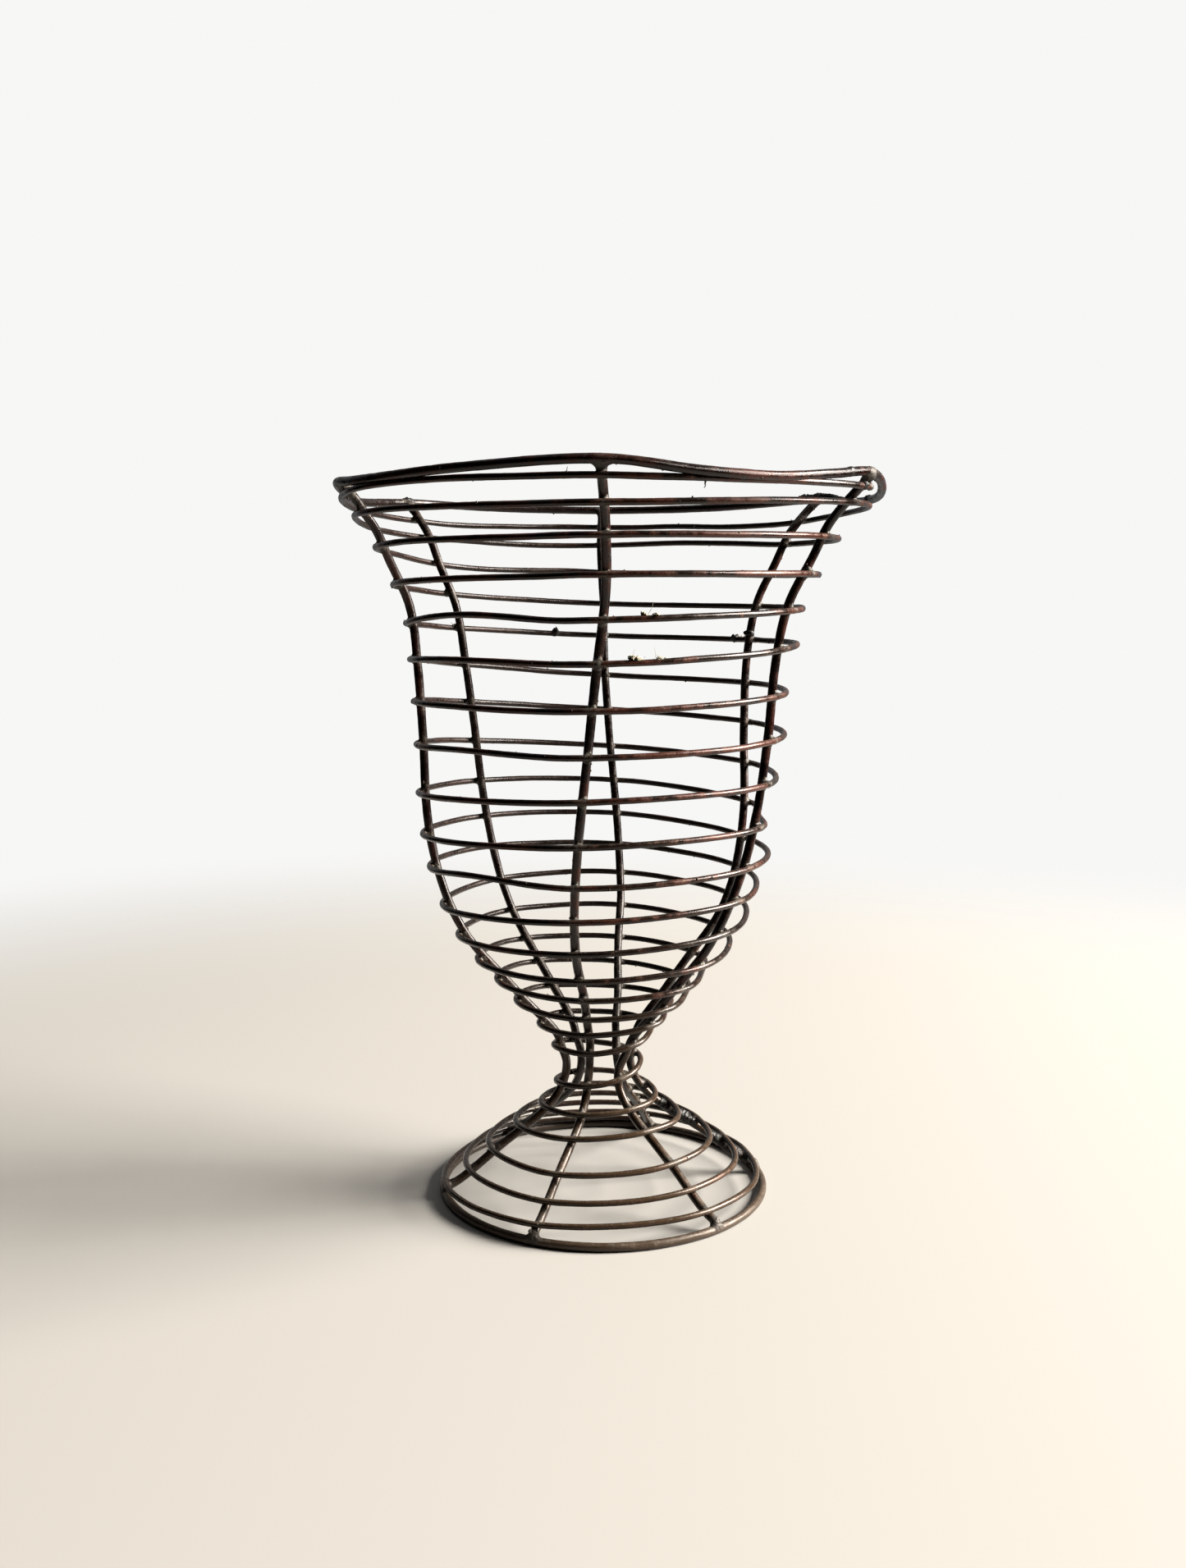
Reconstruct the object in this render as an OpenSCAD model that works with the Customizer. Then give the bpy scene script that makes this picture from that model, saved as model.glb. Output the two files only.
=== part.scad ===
// Wire urn frame for flower arranging: six hand-bent ribs, one long wire wound round them
// from the rim to the foot, a heavy rim, a heavy base ring, and a bead of solder at each joint.
// Millimetres, +Z up, -Y to the front, origin on the table under the middle of the overall box.

/* [Overall] */
// Height from the table to the centre of the rim wire at the front
frame_h = 251; // [200:1:300]
// Width across the rib centres at the rim
rim_d = 186; // [150:2:220]
// Width across the rib centres at the fullest part of the body
body_d = 126; // [100:2:150]
// Width across the rib centres at the waist
waist_d = 24.6; // [20:0.2:36]
// Width over the outside of the base ring
base_d = 119; // [90:1:150]

/* [Wire] */
// Diameter of the wire of the ribs, the rim and the base ring
heavy_d = 3; // [2.4:0.1:3.4]
// Diameter of the spiral wire
spiral_d = 2.1; // [1.6:0.1:2.6]
// How far two soldered wires bite into each other
bite = 0.1; // [0.05:0.05:0.2]

/* [Solder] */
// Diameter of the bead at a crossing
bead_d = 3.8; // [3.6:0.2:5]
// Diameter of the bead at a rib's end
end_bead_d = 5.4; // [5:0.2:6.4]

/* [Winding] */
// How round the spans between ribs are: 0 is straight, 1 is a true circle
span_round = 0.85; // [0.4:0.05:1]
// The same for the loose spans on the right
loose_span_round = 1.1; // [1:0.1:2]

/* [Hidden] */

drawn_h = 251;              // the height that the lists of heights below are drawn at
ring_x = -3;                // the base ring's centre: the rim's loose curl reaches further right
kh = frame_h / drawn_h;
heavy_r = heavy_d / 2;
spiral_r = spiral_d / 2;
rim_r = rim_d / 2;
body_r = body_d / 2;
waist_r = waist_d / 2;
ring_r = base_d / 2 - heavy_r;
wire_gap = heavy_r + spiral_r - bite;
wire_sides = 8;
turn_steps = 24;
round_fn = 96;
bead_fn = 24;
colour_wire = "#3a2d28";
colour_solder = "#5d564f";

// Where a rib's lower end sits down into the top of the base ring
sunk = 0.6;
rib_foot_h = (heavy_d + heavy_r - sunk) / kh;

// Outline of a rib: height, radius. The zones run foot to waist, waist to body and body to rim.
function foot(s) = waist_r + (ring_r - waist_r) * s;
function bowl(s) = waist_r + (body_r - waist_r) * s;
function mouth(s) = body_r + (rim_r - body_r) * s;
outline = [
    [rib_foot_h, foot(0.98)], [rib_foot_h + 2, foot(0.89)], [10, foot(0.76)],
    [17, foot(0.56)], [23, foot(0.37)],
    [28, foot(0.22)], [33, foot(0.11)], [39, foot(0.03)], [46, foot(0)],
    [52, bowl(0.035)], [58, bowl(0.08)], [69, bowl(0.28)], [79, bowl(0.45)], [94, bowl(0.69)],
    [110, bowl(0.83)], [135, bowl(0.93)], [165, bowl(0.98)], [190, mouth(0.03)],
    [210, mouth(0.14)], [226, mouth(0.38)], [236, mouth(0.54)], [243, mouth(0.74)],
    [250, mouth(0.98)], [256, mouth(1.13)]
];

// The body leans a little to the left at mid height: height, shift along X
lean = [
    [0, 0], [25, 0], [42, -0.9], [55, -1.1], [75, -0.8], [95, -1.4], [130, -2.6], [165, -1.4],
    [190, -1], [215, 0], [256, 0]
];

// Bearing of each rib at these heights, in degrees from +X towards +Y
bearing_h = [4, 25, 42, 55, 75, 100, 130, 165, 210, 232, 251];
rib_bearing = [
    [10, 18, 27, 27, 28, 23, 22, 29, 31.5, 29.5, 29],             // back right
    [71, 66, 60, 67, 78, 80, 82, 86.5, 89.5, 90.5, 90],           // back
    [130, 126, 124, 129, 133, 134, 135.5, 140, 145, 146, 144],    // back left
    [193, 190, 186, 190, 194, 191, 188, 187, 187, 193, 200],      // front left
    [246, 246, 249, 256, 260, 261, 264, 266.5, 270, 270, 269],    // front
    [311, 308, 299, 313, 315, 321, 332, 335.5, 335, 337.5, 335]   // front right
];
back_right = 0;
back = 1;
back_left = 2;
front_left = 3;
front = 4;
front_right = 5;
ribs = 6;

// Height of the rim wire over each rib
rim_h = [250.7, 249.7, 249.9, 250, 250.9, 252.5];

// Route of the rim wire, closed: bearing, radius beyond the rib circle, height
rim_route = [
    [270, 1, 250.9], [287, -1, 248.3], [304, -2, 247.8], [320, -1.5, 250.1], [334, 0.6, 252.5],
    [344, 1.3, 251.4], [354, 2.1, 249.3], [366, 3.6, 248], [380, 4.6, 248.6], [391, 1.8, 250.6],
    [418, -2, 249.8], [448, 0.5, 249.7], [475, -2, 249.7], [502, 0, 249.9], [524, -0.5, 247.9],
    [543, -4.6, 248], [557, -1.4, 250.2], [568, -2.6, 249.4], [582, -3, 249.1], [605, -1.2, 249.9]
];

// Height of the spiral at the front, left, back and right of each turn
front_h = [
    246.6, 239.5, 230.5, 219, 205.5, 192, 177.5, 163, 149, 134.5, 121, 109.5,
    98, 87, 78.5, 70, 62.5, 54, 42, 33, 27, 18.5, 12, 7
];
left_h = [
    246, 240, 229.5, 217, 204, 191.5, 177, 162, 145, 130.5, 119, 105.5,
    94.5, 85.5, 78, 70, 61, 52.5, 39, 31, 24, 17, 10.5, 5
];
back_h = [
    242.5, 234.5, 224, 211.5, 199, 183.5, 170, 155.5, 142, 129, 117, 106,
    94, 83, 75, 67, 59, 48.5, 37, 29.5, 22.5, 15.5, 8.5
];
right_h = [
    244, 233, 221, 209.5, 197, 181, 166, 151, 136.5, 123.5, 112.5, 102,
    90.5, 81, 73, 66.5, 58, 46.5, 35, 28, 20.5, 13.5, 7.5
];
side_h = [front_h, left_h, back_h, right_h];
turns = len(front_h);
start_turn = -0.18;
start_h = 247.7;
end_turn = turns - 1 + 0.55;
tucked_h = heavy_d + spiral_r - bite;
spiral_h = [
    [start_turn, start_h],
    for (i = [0:turns - 1], side = [0:3])
        if (i < len(side_h[side])) [i + side / 4, side_h[side][i]],
    [end_turn, tucked_h / kh]
];

// Uneven places in the winding: turn, how far up, how far out
uneven = [
    [-0.08, -0.6, 0], [0.12, 0.6, 0], [0.27, -1.8, 0], [0.38, -1.8, 0], [0.64, -1.9, 0],
    [1.3, -1.8, 1.5], [1.4, -1.2, 0], [1.57, 1.6, 0], [2.38, -1.6, 0],
    [4.12, 2.2, 0], [5.12, 0.8, 0], [7.12, 0.8, 0], [10.12, 1.7, 0]
];
uneven_span = 0.1;

// How loose the right-hand span of each turn is, times loose_span_round
looseness = [
    1.1, 1, 0.85, 0.85, 1.05, 0.8, 0.95, 0.8, 0.2, 1.05, 0.8, 0.75,
    0.75, 0.5, 0.6, 0.3, 0.65, 0.85, 1.05, 1.2, 1.15, 1.15, 1.05, 1
];
loose_rows = [for (i = [0:turns - 1]) [i + 0.75, looseness[i]]];

// Near the rim the left side is pressed in: how far, centred on which bearing, from which height
left_tuck = 2;
tuck_bearing = 195;
tuck_from_h = 239;
tuck_rise = 10;

// Smooth curve through the rows of a list of [x, y]
function row_slope(t, i) =
    let (a = t[max(i - 1, 0)], b = t[min(i + 1, len(t) - 1)]) (b[1] - a[1]) / (b[0] - a[0]);
function row_of(t, x) = len([for (i = [1:len(t) - 2]) if (t[i][0] <= x) 1]);
function smooth(t, x) = let (
        i = row_of(t, x), a = t[i], b = t[i + 1], w = b[0] - a[0],
        s = min(max((x - a[0]) / w, 0), 1),
        m0 = row_slope(t, i) * w, m1 = row_slope(t, i + 1) * w
    )
    (2 * s ^ 3 - 3 * s ^ 2 + 1) * a[1] + (s ^ 3 - 2 * s ^ 2 + s) * m0
    + (3 * s ^ 2 - 2 * s ^ 3) * b[1] + (s ^ 3 - s ^ 2) * m1;
function smooth_slope(t, x) = (smooth(t, x + 0.5) - smooth(t, x - 0.5));

// Heights h in the functions below are drawn heights, which kh stretches to real ones
function rib_radius(h) = smooth(outline, h);
function shift(h) = smooth(lean, h);
function bearing_rows(rib) = [for (i = [0:len(bearing_h) - 1]) [bearing_h[i], rib_bearing[rib][i]]];
function bearing(rib, h) = smooth(bearing_rows(rib), h);
function at(b, r, h) = [ring_x + shift(h) + r * cos(b), r * sin(b), h * kh];
function rib_point(rib, h) = let (b = bearing(rib, h)) at(b, rib_radius(h) - tuck(b, h), h);

// The spiral rides on the outside of the ribs, one wire gap off them square to their slope,
// and low on the foot it comes to lie on top of the base ring
steepest = 2.2;
foot_top_h = 30;
function incline(h) = min(abs(smooth_slope(outline, h)) / kh, steepest);
function ride(h) = wire_gap * sqrt(1 + incline(h) ^ 2);
function spiral_ride_r(h) = let (r = rib_radius(h) + ride(h)) h < foot_top_h ? min(r, ring_r) : r;
function tuck(b, h) =
    left_tuck * max(cos(b - tuck_bearing), 0) ^ 4 * min(max((h - tuck_from_h) / tuck_rise, 0), 1);
function wrap(a) = (a % 360 + 360) % 360;

// Share of the circle's bow that a span at bearing b and height h gives up between its two ribs
function span_loss(b, h, turn) = let (
        bs = [for (rib = [0:ribs - 1]) bearing(rib, h)],
        ahead = [for (rib = [0:ribs - 1]) bs[(rib + 1) % ribs]],
        i = [for (rib = [0:ribs - 1]) if (wrap(b - bs[rib]) < wrap(ahead[rib] - bs[rib])) rib][0],
        width = wrap(ahead[i] - bs[i]),
        part = wrap(b - bs[i]) / width,
        keep = i == front_right ? loose_span_round * smooth(loose_rows, turn) : span_round
    )
    (1 - keep) * (1 - cos(width / 2)) * sin(180 * part) ^ 2;
function hump(turn) = [for (u = uneven) (1 - min(abs(turn - u[0]) / uneven_span, 1) ^ 2) ^ 2];
function spiral_height(turn) = smooth(spiral_h, turn) + hump(turn) * [for (u = uneven) u[1]];
function spiral_point(turn) = let (
        h = spiral_height(turn), b = 270 - 360 * turn,
        out = hump(turn) * [for (u = uneven) u[2]] - tuck(b, h)
    )
    at(b, spiral_ride_r(h) * (1 - span_loss(b, h, turn)) + out, h);

// Share of a turn from the front to a bearing; the front rib may lean a little past the front
past_front = 10;
function share_of_turn(b) = (wrap(270 - b + past_front) - past_front) / 360;

// Turn at which the spiral crosses a rib, found by closing in on the rib's bearing
function crossing(rib, i, guess, tries) = tries == 0 ? guess
    : crossing(rib, i, i + share_of_turn(bearing(rib, spiral_height(guess))), tries - 1);
function crossings(rib) = let (first = rib == front_right ? -1 : 0) [
    for (i = [first:turns - 1])
        let (t = crossing(rib, i, i + share_of_turn(rib_bearing[rib][5]), 4))
        if (t > start_turn - 0.02 && t < end_turn - 0.25) t
];

function unit(v) = v / norm(v);
function direction(path, i, closed) = let (n = len(path))
    closed ? unit(path[(i + 1) % n] - path[(i + n - 1) % n])
    : unit(path[min(i + 1, n - 1)] - path[max(i - 1, 0)]);

// A round wire of diameter d along a path. side[i] is any direction not along the path there.
module wire(path, side, d, closed = false) {
    n = len(path);
    s = wire_sides;
    points = [
        for (i = [0:n - 1])
            let (t = direction(path, i, closed), u = unit(cross(t, side[i])), v = cross(t, u))
            for (j = [0:s - 1]) path[i] + d / 2 * (cos(360 * j / s) * u + sin(360 * j / s) * v)
    ];
    links = closed ? n : n - 1;
    walls = [
        for (i = [0:links - 1], j = [0:s - 1])
            let (
                k = (i + 1) % n,
                a = i * s + j, b = i * s + (j + 1) % s, c = k * s + j, e = k * s + (j + 1) % s
            )
            each [[a, b, c], [b, e, c]]
    ];
    caps = closed ? [] : [
        [for (j = [0:s - 1]) s - 1 - j],
        [for (j = [0:s - 1]) (n - 1) * s + j]
    ];
    polyhedron(points, concat(walls, caps));
}

up = [0, 0, 1];

// A rib runs from the base ring up to the underside of the rim wire
rib_steps = 3;
function rib_top(rib) = rim_h[rib] - heavy_r;
function rib_heights(rib) = let (n = len(outline)) [
    rib_foot_h,
    for (i = [0:n - 2], k = [0:rib_steps - 1])
        let (h = outline[i][0] + (outline[i + 1][0] - outline[i][0]) * k / rib_steps)
        if (h > rib_foot_h + 0.8 && h < rib_top(rib) - 1.5) h,
    rib_top(rib)
];

module rib(i) {
    hs = rib_heights(i);
    color(colour_wire)
        wire(
            [for (h = hs) rib_point(i, h)],
            [for (h = hs) [-sin(bearing(i, h)), cos(bearing(i, h)), 0]],
            heavy_d
        );
}

// One bead of solder, a ball centred where the rib and the spiral touch
module bead(rib, turn) {
    h = spiral_height(turn);
    on_wire = spiral_point(turn);
    rib_way = unit(rib_point(rib, h + 1) - rib_point(rib, h - 1));
    off = on_wire - rib_point(rib, h);
    square = off - (off * rib_way) * rib_way;
    translate(on_wire - unit(square) * spiral_r) sphere(d = bead_d, $fn = bead_fn);
}

module beads(rib) {
    color(colour_solder)
        for (t = crossings(rib)) bead(rib, t);
}

module rim_wire() {
    n = len(rim_route);
    steps = 4;
    turned = [
        for (k = [-1:n + 1])
            let (p = rim_route[(k + n) % n]) [p[0] + 360 * floor(k / n), p[1], p[2]]
    ];
    out = [for (k = [0:n + 2]) [turned[k][0], turned[k][1]]];
    high = [for (k = [0:n + 2]) [turned[k][0], turned[k][2]]];
    bs = [for (k = [1:n], j = [0:steps - 1]) turned[k][0] + (turned[k + 1][0] - turned[k][0]) * j / steps];
    path = [for (b = bs) at(b, rim_r + smooth(out, b), smooth(high, b))];
    color(colour_wire) wire(path, [for (b = bs) up], heavy_d, closed = true);
}

module base_ring() {
    color(colour_wire)
        translate([ring_x, 0, heavy_r])
            rotate_extrude($fn = round_fn) translate([ring_r, 0]) circle(d = heavy_d, $fn = bead_fn);
}

module spiral_wire() {
    count = round((end_turn - start_turn) * turn_steps);
    ts = [for (i = [0:count]) start_turn + (end_turn - start_turn) * i / count];
    color(colour_wire) wire([for (t = ts) spiral_point(t)], [for (t = ts) up], spiral_d);
}

module rib_back_right() { rib(back_right); }
module rib_back() { rib(back); }
module rib_back_left() { rib(back_left); }
module rib_front_left() { rib(front_left); }
module rib_front() { rib(front); }
module rib_front_right() { rib(front_right); }

module beads_back_right() { beads(back_right); }
module beads_back() { beads(back); }
module beads_back_left() { beads(back_left); }
module beads_front_left() { beads(front_left); }
module beads_front() { beads(front); }
module beads_front_right() { beads(front_right); }

module beads_rim() {
    color(colour_solder)
        for (rib = [0:ribs - 1])
            translate(rib_point(rib, rib_top(rib)))
                sphere(d = end_bead_d, $fn = bead_fn);
}

module beads_foot() {
    color(colour_solder)
        for (rib = [0:ribs - 1])
            translate(at(bearing(rib, rib_foot_h), ring_r, (heavy_d + 0.4) / kh))
                sphere(d = end_bead_d, $fn = bead_fn);
}

module beads_spiral_ends() {
    color(colour_solder)
        for (t = [start_turn, end_turn]) translate(spiral_point(t)) sphere(d = bead_d, $fn = bead_fn);
}

rim_wire();
base_ring();
spiral_wire();
rib_front();
rib_front_left();
rib_back_left();
rib_back();
rib_back_right();
rib_front_right();
beads_front();
beads_front_left();
beads_back_left();
beads_back();
beads_back_right();
beads_front_right();
beads_rim();
beads_foot();
beads_spiral_ends();
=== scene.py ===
import math
import random

import bmesh
import bpy
import numpy as np
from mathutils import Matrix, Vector, noise


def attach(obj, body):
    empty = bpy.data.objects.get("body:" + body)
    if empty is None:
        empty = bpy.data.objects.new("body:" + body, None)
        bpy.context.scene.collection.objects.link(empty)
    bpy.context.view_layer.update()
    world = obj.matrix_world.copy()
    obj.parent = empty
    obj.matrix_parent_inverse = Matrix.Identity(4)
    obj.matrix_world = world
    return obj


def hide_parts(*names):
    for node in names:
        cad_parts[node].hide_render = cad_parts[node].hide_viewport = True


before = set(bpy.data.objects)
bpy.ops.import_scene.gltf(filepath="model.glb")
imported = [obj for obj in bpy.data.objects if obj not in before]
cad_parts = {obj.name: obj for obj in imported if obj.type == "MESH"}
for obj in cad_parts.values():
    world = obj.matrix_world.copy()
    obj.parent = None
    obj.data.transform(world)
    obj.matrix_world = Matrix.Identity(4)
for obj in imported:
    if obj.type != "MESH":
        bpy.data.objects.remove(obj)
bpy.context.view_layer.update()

mm = 0.001
noise.seed_set(3)                # every run then bends and scatters alike
scene = bpy.context.scene
scene.view_settings.view_transform = "Standard"
scene.view_settings.look = "None"

# camera, in millimetres and degrees
shot = {
    "place": (-6.66, -507.92, 207.1),
    "tiltDown": 6.708,
    "focal": 1754.1 / 1911,      # in sensor heights
    "sensor": 36,
}
camera = bpy.data.cameras.new("camera")
camera.sensor_fit = "VERTICAL"
camera.sensor_height = shot["sensor"]
camera.lens = shot["sensor"] * shot["focal"]
camera.clip_start = 0.01
cameraObject = bpy.data.objects.new("camera", camera)
cameraObject.location = Vector(shot["place"]) * mm
cameraObject.rotation_euler = (math.radians(90 - shot["tiltDown"]), 0, 0)
scene.collection.objects.link(cameraObject)
scene.camera = cameraObject
print("camera placed")

# the bent shape in millimetres and degrees, from the same lists as the CAD part
shape = {
    "ringX": -3.0,               # centre of the base ring
    "rimR": 93.0,
    "bodyR": 63.0,
    "waistR": 12.3,
    "ringR": 58.0,
    "heavyR": 1.5,
    "spiralR": 1.05,
    "bite": 0.1,                 # how far the spiral is sunk into the ribs
    "sunk": 0.6,                 # how far a rib's foot is sunk into the base ring
    "footJointH": 3.4,
    "startSlack": 0.02,
    "endClear": 0.25,            # of a turn, with no joint at the spiral's lower end
    "spanRound": 0.85,
    "looseSpanRound": 1.1,       # of the right-hand spans
    "steepest": 2.2,
    "footTop": 30,
    "startTurn": -0.18,
    "startH": 247.7,
    "endPart": 0.55,             # of the last turn
    "pastFront": 10,             # how far the front rib may lean past the front
    "unevenSpan": 0.1,
    "leftTuck": 2.0,
    "tuckBearing": 195,
    "tuckFrom": 239,
    "tuckRise": 10,
}
ribNodes = ["back_right", "back", "back_left", "front_left", "front", "front_right"]
ribNames = ["BackRight", "Back", "BackLeft", "FrontLeft", "Front", "FrontRight"]
wireGap = shape["heavyR"] + shape["spiralR"] - shape["bite"]


def zone(inner, outer, rows):
    return [[h, shape[inner] + (shape[outer] - shape[inner]) * s] for h, s in rows]


outline = (
    zone("waistR", "ringR", [
        [3.9, 0.98], [5.9, 0.89], [10, 0.76], [17, 0.56], [23, 0.37],
        [28, 0.22], [33, 0.11], [39, 0.03], [46, 0],
    ])
    + zone("waistR", "bodyR", [
        [52, 0.035], [58, 0.08], [69, 0.28], [79, 0.45], [94, 0.69], [110, 0.83], [135, 0.93], [165, 0.98],
    ])
    + zone("bodyR", "rimR", [
        [190, 0.03], [210, 0.14], [226, 0.38], [236, 0.54], [243, 0.74], [250, 0.98], [256, 1.13],
    ])
)
lean = [
    [0, 0], [25, 0], [42, -0.9], [55, -1.1], [75, -0.8], [95, -1.4], [130, -2.6], [165, -1.4],
    [190, -1], [215, 0], [256, 0],
]
bearingH = [4, 25, 42, 55, 75, 100, 130, 165, 210, 232, 251]
ribBearing = [
    [10, 18, 27, 27, 28, 23, 22, 29, 31.5, 29.5, 29],
    [71, 66, 60, 67, 78, 80, 82, 86.5, 89.5, 90.5, 90],
    [130, 126, 124, 129, 133, 134, 135.5, 140, 145, 146, 144],
    [193, 190, 186, 190, 194, 191, 188, 187, 187, 193, 200],
    [246, 246, 249, 256, 260, 261, 264, 266.5, 270, 270, 269],
    [311, 308, 299, 313, 315, 321, 332, 335.5, 335, 337.5, 335],
]
rimH = [250.7, 249.7, 249.9, 250, 250.9, 252.5]
rimRoute = [
    [270, 1, 250.9], [287, -1, 248.3], [304, -2, 247.8], [320, -1.5, 250.1], [334, 0.6, 252.5],
    [344, 1.3, 251.4], [354, 2.1, 249.3], [366, 3.6, 248], [380, 4.6, 248.6], [391, 1.8, 250.6],
    [418, -2, 249.8], [448, 0.5, 249.7], [475, -2, 249.7], [502, 0, 249.9], [524, -0.5, 247.9],
    [543, -4.6, 248], [557, -1.4, 250.2], [568, -2.6, 249.4], [582, -3, 249.1], [605, -1.2, 249.9],
]
sideH = [
    [246.6, 239.5, 230.5, 219, 205.5, 192, 177.5, 163, 149, 134.5, 121, 109.5,
     98, 87, 78.5, 70, 62.5, 54, 42, 33, 27, 18.5, 12, 7],                    # front
    [246, 240, 229.5, 217, 204, 191.5, 177, 162, 145, 130.5, 119, 105.5,
     94.5, 85.5, 78, 70, 61, 52.5, 39, 31, 24, 17, 10.5, 5],                  # left
    [242.5, 234.5, 224, 211.5, 199, 183.5, 170, 155.5, 142, 129, 117, 106,
     94, 83, 75, 67, 59, 48.5, 37, 29.5, 22.5, 15.5, 8.5],                    # back
    [244, 233, 221, 209.5, 197, 181, 166, 151, 136.5, 123.5, 112.5, 102,
     90.5, 81, 73, 66.5, 58, 46.5, 35, 28, 20.5, 13.5, 7.5],                  # right
]
turnCount = len(sideH[0])
endTurn = turnCount - 1 + shape["endPart"]
tuckedH = 2 * shape["heavyR"] + shape["spiralR"] - shape["bite"]
spiralRows = (
    [[shape["startTurn"], shape["startH"]]]
    + [[i + k / 4, sideH[k][i]] for i in range(turnCount) for k in range(4) if i < len(sideH[k])]
    + [[endTurn, tuckedH]]
)
uneven = [                       # turn, how far up, how far out
    [-0.08, -0.6, 0], [0.12, 0.6, 0], [0.27, -1.8, 0], [0.38, -1.8, 0], [0.64, -1.9, 0],
    [1.3, -1.8, 1.5], [1.4, -1.2, 0], [1.57, 1.6, 0], [2.38, -1.6, 0],
    [4.12, 2.2, 0], [5.12, 0.8, 0], [7.12, 0.8, 0], [10.12, 1.7, 0],
]
looseness = [                    # of each turn's right-hand span, times looseSpanRound
    1.1, 1, 0.85, 0.85, 1.05, 0.8, 0.95, 0.8, 0.2, 1.05, 0.8, 0.75,
    0.75, 0.5, 0.6, 0.3, 0.65, 0.85, 1.05, 1.2, 1.15, 1.15, 1.05, 1,
]
looseRows = [[i + 0.75, looseness[i]] for i in range(turnCount)]


def through(rows, x):
    # smooth curve through the rows, read at x
    xs, ys = np.array(rows, float).T
    last = len(xs) - 1
    ahead = np.minimum(np.arange(last + 1) + 1, last)
    behind = np.maximum(np.arange(last + 1) - 1, 0)
    slope = (ys[ahead] - ys[behind]) / (xs[ahead] - xs[behind])
    i = np.clip(np.searchsorted(xs, x, side="right") - 1, 0, last - 1)
    width = xs[i + 1] - xs[i]
    s = np.clip((x - xs[i]) / width, 0, 1)
    return (
        (2 * s**3 - 3 * s**2 + 1) * ys[i] + (s**3 - 2 * s**2 + s) * slope[i] * width
        + (3 * s**2 - 2 * s**3) * ys[i + 1] + (s**3 - s**2) * slope[i + 1] * width
    )


def bearingOf(rib, h):
    return through(list(zip(bearingH, ribBearing[rib])), h)


def spot(bearing, radius, h):
    b = np.radians(bearing)
    return np.stack([
        shape["ringX"] + through(lean, h) + radius * np.cos(b),
        radius * np.sin(b),
        h + 0 * b,
    ], -1)


def tuck(bearing, h):
    # near the rim the left side is pressed in
    facing = np.maximum(np.cos(np.radians(bearing - shape["tuckBearing"])), 0) ** 4
    return shape["leftTuck"] * facing * np.clip((h - shape["tuckFrom"]) / shape["tuckRise"], 0, 1)


def ribSpot(rib, h):
    bearing = bearingOf(rib, h)
    return spot(bearing, through(outline, h) - tuck(bearing, h), h)


def hump(turn, kind):
    total = np.zeros(np.shape(turn))
    for row in uneven:
        total = total + row[kind] * (1 - np.minimum(abs(turn - row[0]) / shape["unevenSpan"], 1) ** 2) ** 2
    return total


def spiralHeight(turn):
    return through(spiralRows, turn) + hump(turn, 1)


def spiralSpot(turn):
    h = spiralHeight(turn)
    bearing = 270 - 360 * turn
    incline = np.minimum(abs(through(outline, h + 0.5) - through(outline, h - 0.5)), shape["steepest"])
    radius = through(outline, h) + wireGap * np.sqrt(1 + incline**2)
    radius = np.where(h < shape["footTop"], np.minimum(radius, shape["ringR"]), radius)
    ribsAt = np.stack([bearingOf(rib, h) for rib in range(6)])
    spans = (np.roll(ribsAt, -1, 0) - ribsAt) % 360
    into = (bearing - ribsAt) % 360
    which = np.argmax(into < spans, 0)
    span = np.take_along_axis(spans, which[None], 0)[0]
    part = np.take_along_axis(into, which[None], 0)[0] / span
    loose = shape["looseSpanRound"] * through(looseRows, turn)
    keep = np.where(which == 5, loose, shape["spanRound"])
    bow = (1 - keep) * (1 - np.cos(np.radians(span / 2))) * np.sin(math.pi * part) ** 2
    return spot(bearing, radius * (1 - bow) + hump(turn, 2) - tuck(bearing, h), h)


def shareOfTurn(bearing):
    # counted from the front
    past = shape["pastFront"]
    return ((270 - bearing + past) % 360 - past) / 360


def crossings(rib):
    # turns at which the spiral passes over a rib
    found = []
    for i in range(-1 if rib == 5 else 0, turnCount):
        t = i + shareOfTurn(ribBearing[rib][5])
        for _ in range(5):
            h = spiralHeight(t)
            t = i + float(shareOfTurn(bearingOf(rib, h)))
        if shape["startTurn"] - shape["startSlack"] < t < endTurn - shape["endClear"]:
            found.append(t)
    return found


# node groups that the finishes share
def newGroup(name, inputs, outputs):
    group = bpy.data.node_groups.new(name, "ShaderNodeTree")
    for label, kind, value in inputs:
        made = group.interface.new_socket(name=label, in_out="INPUT", socket_type=kind)
        if value is not None:
            made.default_value = value
    for label, kind in outputs:
        group.interface.new_socket(name=label, in_out="OUTPUT", socket_type=kind)
    return group, group.nodes.new("NodeGroupInput"), group.nodes.new("NodeGroupOutput")


def put(tree, kind, links=None, **settings):
    # adds a node; links gives each input a value or another node's socket
    node = tree.nodes.new(kind)
    for key, value in settings.items():
        setattr(node, key, value)
    for key, value in (links or {}).items():
        if isinstance(value, bpy.types.NodeSocket):
            tree.links.new(value, node.inputs[key])
        else:
            node.inputs[key].default_value = value
    return node


def speckle(tree, at, scale, detail=3.0, rough=0.55):
    return put(tree, "ShaderNodeTexNoise", {
        "Vector": at, "Scale": scale, "Detail": detail, "Roughness": rough,
    }).outputs["Fac"]


def step(tree, value, low, high, least=0.0, most=1.0):
    return put(tree, "ShaderNodeMapRange", {
        "Value": value, "From Min": low, "From Max": high, "To Min": least, "To Max": most,
    }, interpolation_type="SMOOTHSTEP").outputs["Result"]


def sums(tree, operation, a, b):
    return put(tree, "ShaderNodeMath", {0: a, 1: b}, operation=operation).outputs[0]


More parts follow.
